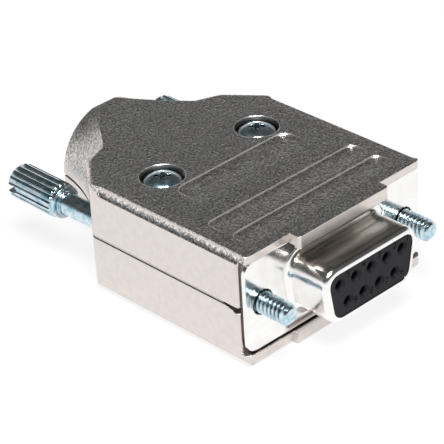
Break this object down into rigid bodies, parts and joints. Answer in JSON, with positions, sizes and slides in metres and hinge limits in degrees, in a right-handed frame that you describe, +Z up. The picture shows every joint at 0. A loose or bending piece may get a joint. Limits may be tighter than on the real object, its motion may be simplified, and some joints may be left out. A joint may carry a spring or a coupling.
{
  "type": "d-sub connector",
  "caption": "D-sub socket in a two-part die-cast hood, with captive fluted jackscrews through both sides and a round cable barrel at the rear.",
  "frame": {"origin": "midway between the two jackscrew axes, in the plane of the flange's front face", "axes": "-Y is the mating direction, X runs across the flange from the left to the right jackscrew, +Z is up, from the parting plane to the half with the screw heads"},
  "size_m": [0.0312, 0.0508, 0.0156],
  "materials": {
    "hood_nickel": "nickel-plated die-cast zinc: satin sides, fine eroded grain on the broad faces",
    "shell_steel": "bright tin-plated steel sheet",
    "insulator_black": "black glass-filled plastic, dull",
    "contact_gold": "gold flash on copper alloy",
    "screw_zinc": "blue-white zinc-plated steel, glossy",
    "ring_steel": "spring steel, phosphated"
  },
  "bodies": {
    "housing": {"hood_top": "hood_nickel", "hood_bottom": "hood_nickel", "front_shell": "shell_steel", "rear_shell": "shell_steel", "front_insulator": "insulator_black", "rear_insulator": "insulator_black", "contact_1": "contact_gold", "contact_2": "contact_gold", "contact_3": "contact_gold", "contact_4": "contact_gold", "contact_5": "contact_gold", "contact_6": "contact_gold", "contact_7": "contact_gold", "contact_8": "contact_gold", "contact_9": "contact_gold", "hood_screw_left": "screw_zinc", "hood_screw_right": "screw_zinc", "cable_strap": "shell_steel", "clamp_screw_left": "screw_zinc", "clamp_screw_right": "screw_zinc"},
    "left_ring": {"ring_left": "ring_steel"},
    "left_screw": {"jackscrew_left": "screw_zinc"},
    "right_ring": {"ring_right": "ring_steel"},
    "right_screw": {"jackscrew_right": "screw_zinc"}
  },
  "joints": [
    {"name": "left_slide", "type": "slide", "parent": "housing", "child": "left_ring", "axis": [0, 1, 0], "range_m": [0, 0.004]},
    {"name": "left_turn", "type": "hinge", "parent": "left_ring", "child": "left_screw", "pos_m": [-0.01249, 0, 0], "axis": [0, 1, 0], "continuous": true},
    {"name": "right_slide", "type": "slide", "parent": "housing", "child": "right_ring", "axis": [0, 1, 0], "range_m": [0, 0.004]},
    {"name": "right_turn", "type": "hinge", "parent": "right_ring", "child": "right_screw", "pos_m": [0.01249, 0, 0], "axis": [0, 1, 0], "continuous": true}
  ]
}
